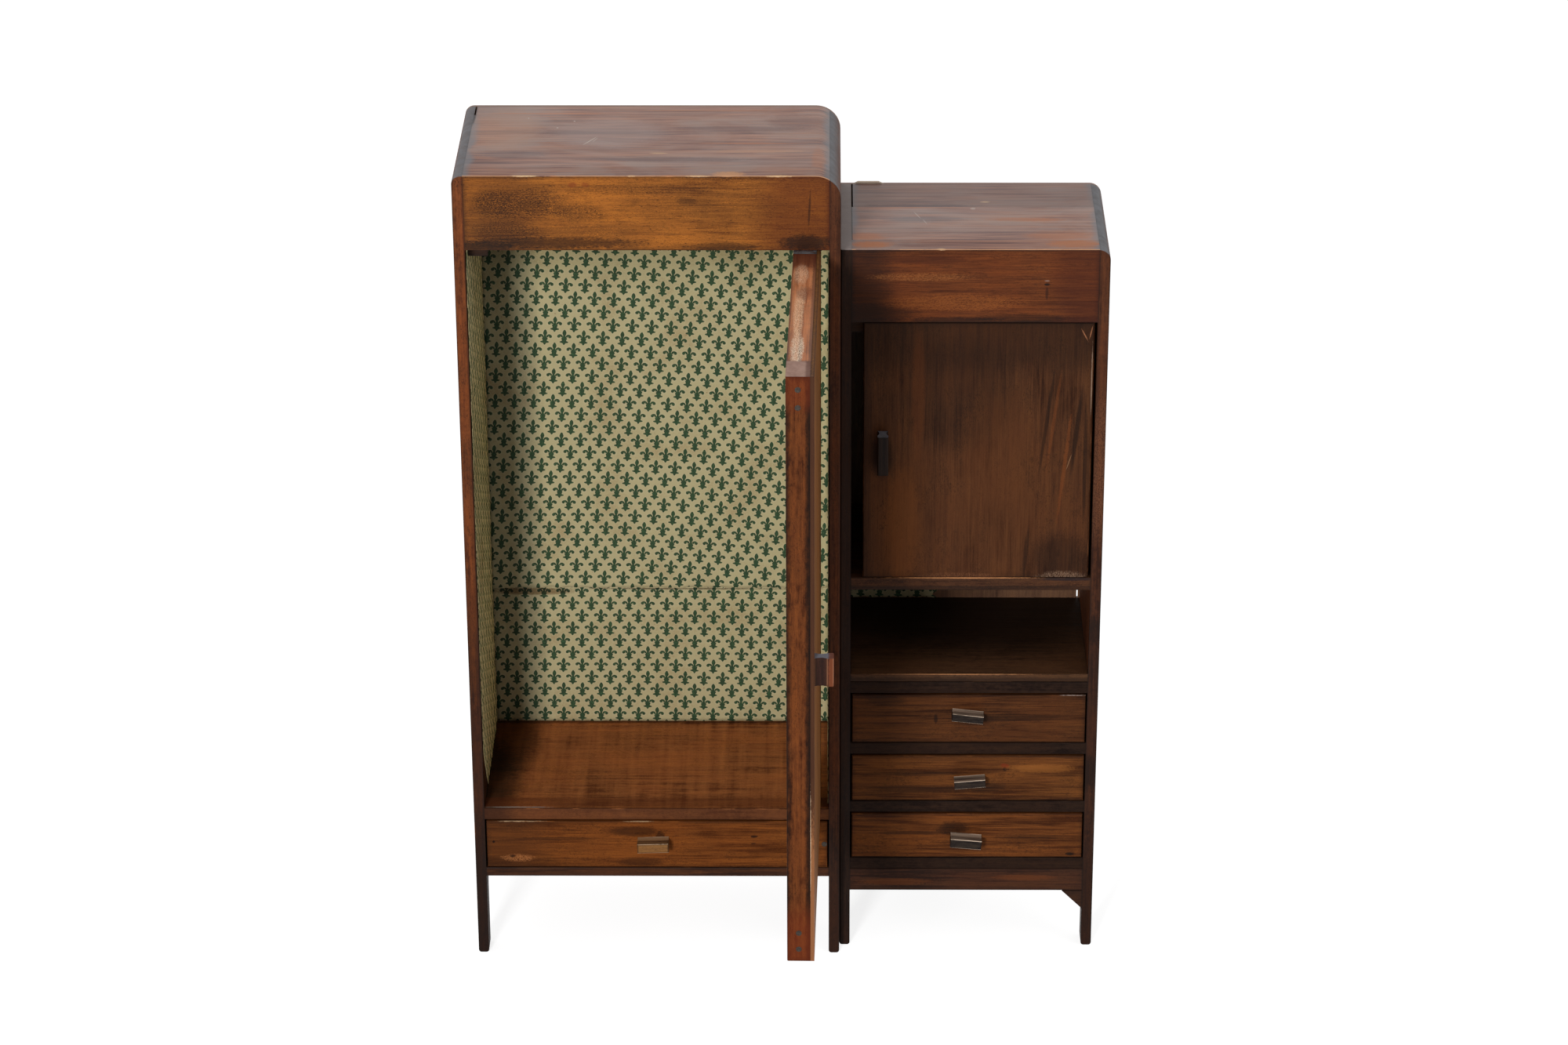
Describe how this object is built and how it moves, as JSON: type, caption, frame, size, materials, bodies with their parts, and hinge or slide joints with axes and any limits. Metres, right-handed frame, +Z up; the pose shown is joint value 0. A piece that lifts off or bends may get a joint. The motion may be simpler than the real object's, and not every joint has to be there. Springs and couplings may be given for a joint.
{
  "type": "miniature wardrobe",
  "caption": "Doll's wardrobe of stained wood: a papered hanging cupboard with a pivoted door and wide drawer, joined to a lower unit with a small door, niche and drawers.",
  "frame": {"origin": "centre of the sole of the middle front foot, which is the lower end of the tall unit's right side, on the floor where the two units meet", "axes": "+X to the right seen from the front, +Y from the front into the depth, +Z up"},
  "size_m": [0.3403, 0.2679, 0.46],
  "materials": {
    "outer_wood": "dark stained and rubbed, worn at the edges",
    "tall_fascia_wood": "honey brown stain with dark blotches, satin",
    "low_fascia_wood": "red brown stain, satin",
    "board_wood": "dark stained, satin",
    "tall_door_wood": "red brown stain, rubbed bright on top",
    "small_door_wood": "dark walnut stain, satin",
    "drawer_wood": "mid brown stain, satin",
    "handle_wood": "greyed by handling",
    "drawer_box_wood": "bare wood",
    "back_wood": "thin plywood, lightly stained",
    "wallpaper": "matt printed paper, green lilies on tan",
    "nail_steel": "dull, oxidised"
  },
  "bodies": {
    "carcass": {"tall_left_side": "outer_wood", "tall_right_side": "outer_wood", "tall_fascia": "tall_fascia_wood", "tall_top_board": "outer_wood", "tall_floor_board": "board_wood", "tall_bottom_board": "board_wood", "tall_back_panel": "back_wood", "tall_door_stop": "board_wood", "wallpaper_back_upper": "wallpaper", "wallpaper_back_lower": "wallpaper", "wallpaper_left": "wallpaper", "wallpaper_right": "wallpaper", "tall_carcass_nails": "nail_steel", "low_left_side": "outer_wood", "low_right_side": "outer_wood", "low_fascia": "low_fascia_wood", "low_top_front": "outer_wood", "low_top_rear": "outer_wood", "shelf": "board_wood", "niche_board": "board_wood", "divider_1": "board_wood", "divider_2": "board_wood", "divider_3": "board_wood", "divider_4": "board_wood", "apron": "board_wood", "corner_gusset": "board_wood", "low_back_panel": "back_wood", "low_door_stop": "board_wood", "wallpaper_remnant": "wallpaper", "low_carcass_nails": "nail_steel"},
    "tall_door": {"door_hinge_stile": "tall_door_wood", "door_free_stile": "tall_door_wood", "door_top_rail": "tall_door_wood", "door_bottom_rail": "tall_door_wood", "door_panel": "tall_door_wood", "door_handle": "handle_wood", "door_pins": "nail_steel", "door_nails": "nail_steel"},
    "small_door": {"small_door_slab": "small_door_wood", "small_door_handle": "handle_wood", "small_door_pins": "nail_steel"},
    "wide_drawer": {"wide_drawer_front": "drawer_wood", "wide_drawer_walls": "drawer_box_wood", "wide_drawer_bottom": "drawer_box_wood", "wide_drawer_handle": "handle_wood", "wide_drawer_nail": "nail_steel"},
    "drawer_1": {"drawer_1_front": "drawer_wood", "drawer_1_walls": "drawer_box_wood", "drawer_1_bottom": "drawer_box_wood", "drawer_1_handle": "handle_wood"},
    "drawer_2": {"drawer_2_front": "drawer_wood", "drawer_2_walls": "drawer_box_wood", "drawer_2_bottom": "drawer_box_wood", "drawer_2_handle": "handle_wood"},
    "drawer_3": {"drawer_3_front": "drawer_wood", "drawer_3_walls": "drawer_box_wood", "drawer_3_bottom": "drawer_box_wood", "drawer_3_handle": "handle_wood"}
  },
  "joints": [
    {"name": "tall_door_hinge", "type": "hinge", "parent": "carcass", "child": "tall_door", "pos_m": [-0.0144, 0.001, 0.255], "axis": [0, 0, 1], "range_deg": [-89, 11]},
    {"name": "small_door_hinge", "type": "hinge", "parent": "carcass", "child": "small_door", "pos_m": [0.1299, 0.007, 0.3], "axis": [0, 0, 1], "range_deg": [0, 110]},
    {"name": "wide_drawer_slide", "type": "slide", "parent": "carcass", "child": "wide_drawer", "axis": [0, -1, 0], "range_m": [0, 0.06]},
    {"name": "drawer_1_slide", "type": "slide", "parent": "carcass", "child": "drawer_1", "axis": [0, -1, 0], "range_m": [0, 0.06]},
    {"name": "drawer_2_slide", "type": "slide", "parent": "carcass", "child": "drawer_2", "axis": [0, -1, 0], "range_m": [0, 0.06]},
    {"name": "drawer_3_slide", "type": "slide", "parent": "carcass", "child": "drawer_3", "axis": [0, -1, 0], "range_m": [0, 0.06]}
  ]
}
